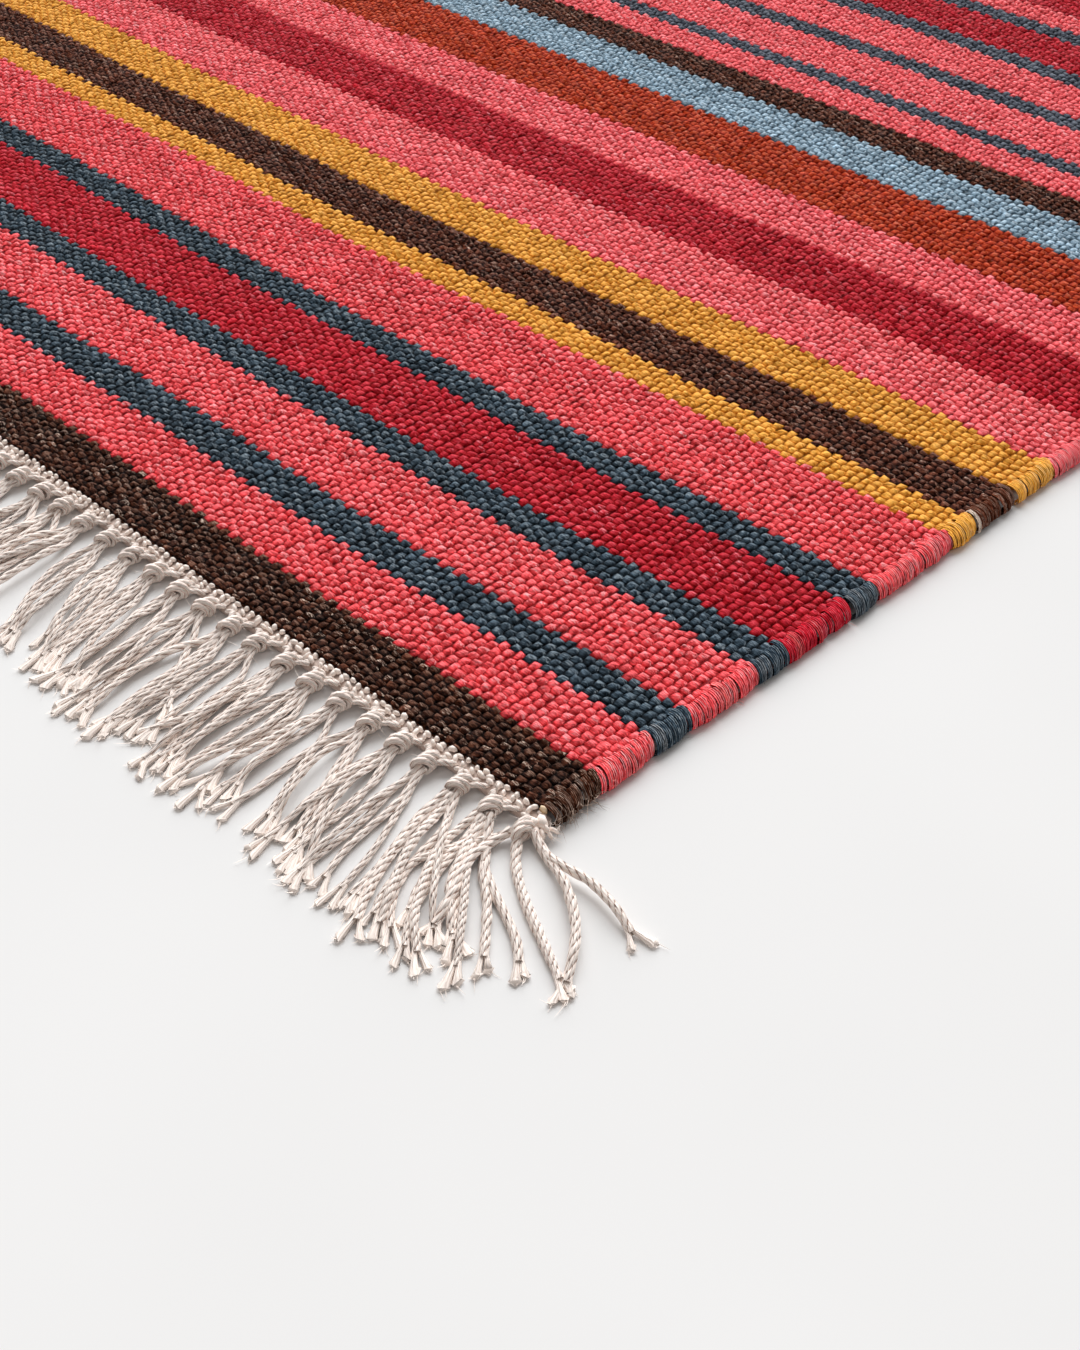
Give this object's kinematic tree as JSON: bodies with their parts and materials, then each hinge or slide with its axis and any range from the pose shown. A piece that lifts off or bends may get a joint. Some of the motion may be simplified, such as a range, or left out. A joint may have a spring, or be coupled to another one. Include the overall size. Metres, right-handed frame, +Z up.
{
  "type": "kilim rug",
  "caption": "Flat-woven kilim rug that lies on a floor, with stripes across its width, thick selvedges and a knotted cotton fringe at each end.",
  "frame": {"origin": "middle of the underside, on the floor", "axes": "+X across the width, along the weft; +Y along the length, along the warp; +Z up, out of the upper face"},
  "size_m": [0.892, 1.6392, 0.0065],
  "materials": {
    "wool_weft": "matt hand-spun wool in weft-faced plain weave, with stripes of pink, crimson, brown, slate blue, mustard, rust and light blue",
    "cotton_warp": "undyed plied cotton cord, matt"
  },
  "bodies": {
    "root": {"woven_field": "wool_weft", "fringe_near": "cotton_warp", "fringe_far": "cotton_warp"}
  },
  "joints": []
}
